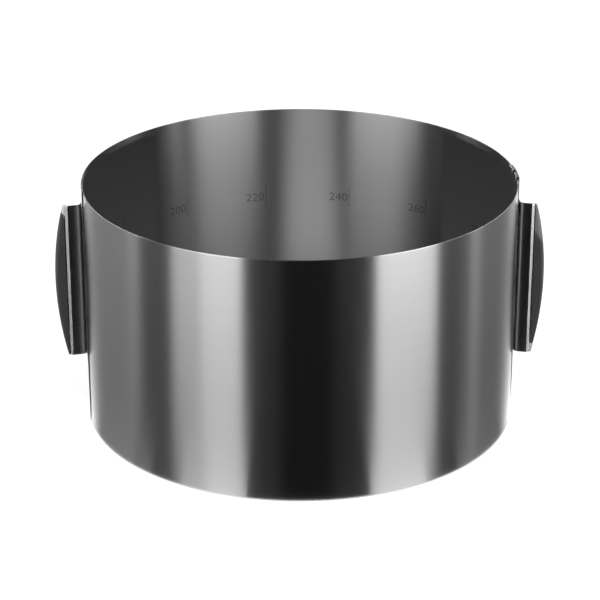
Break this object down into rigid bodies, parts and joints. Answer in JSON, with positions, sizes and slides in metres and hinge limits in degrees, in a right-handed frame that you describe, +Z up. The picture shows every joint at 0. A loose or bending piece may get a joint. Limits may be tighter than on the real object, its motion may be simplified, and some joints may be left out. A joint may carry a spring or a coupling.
{
  "type": "adjustable cake ring",
  "caption": "Tall open steel ring for shaping cakes, whose two curved bands slide inside each other to change the diameter, with a moulded grip on each side.",
  "frame": {"origin": "on the ring's axis, at the height of the surface that it stands on", "axes": "+Z up along the ring's axis, +X to the handle at the sliding lap, -Y to the front of the ring"},
  "size_m": [0.3387, 0.2962, 0.17],
  "materials": {
    "outer_band_steel": "brushed along the band, satin",
    "inner_band_steel": "brushed along the band, satin",
    "guide_steel": "bright rolled sheet",
    "bracket_steel": "smooth rolled sheet",
    "grip_plastic": "matte, finely textured",
    "screw_steel": "bright"
  },
  "bodies": {
    "fixed_half": {"outer_band": "outer_band_steel", "slide_guide": "guide_steel", "right_bracket": "bracket_steel", "left_bracket": "bracket_steel", "right_grip": "grip_plastic", "left_grip": "grip_plastic", "right_lower_grip_screw": "screw_steel", "right_upper_grip_screw": "screw_steel", "left_lower_grip_screw": "screw_steel", "left_upper_grip_screw": "screw_steel"},
    "sliding_half": {"inner_band": "inner_band_steel"}
  },
  "joints": [
    {"name": "band_slide", "type": "hinge", "parent": "fixed_half", "child": "sliding_half", "pos_m": [0, 0, 0], "axis": [0, 0, 1], "range_deg": [0, 168]}
  ]
}
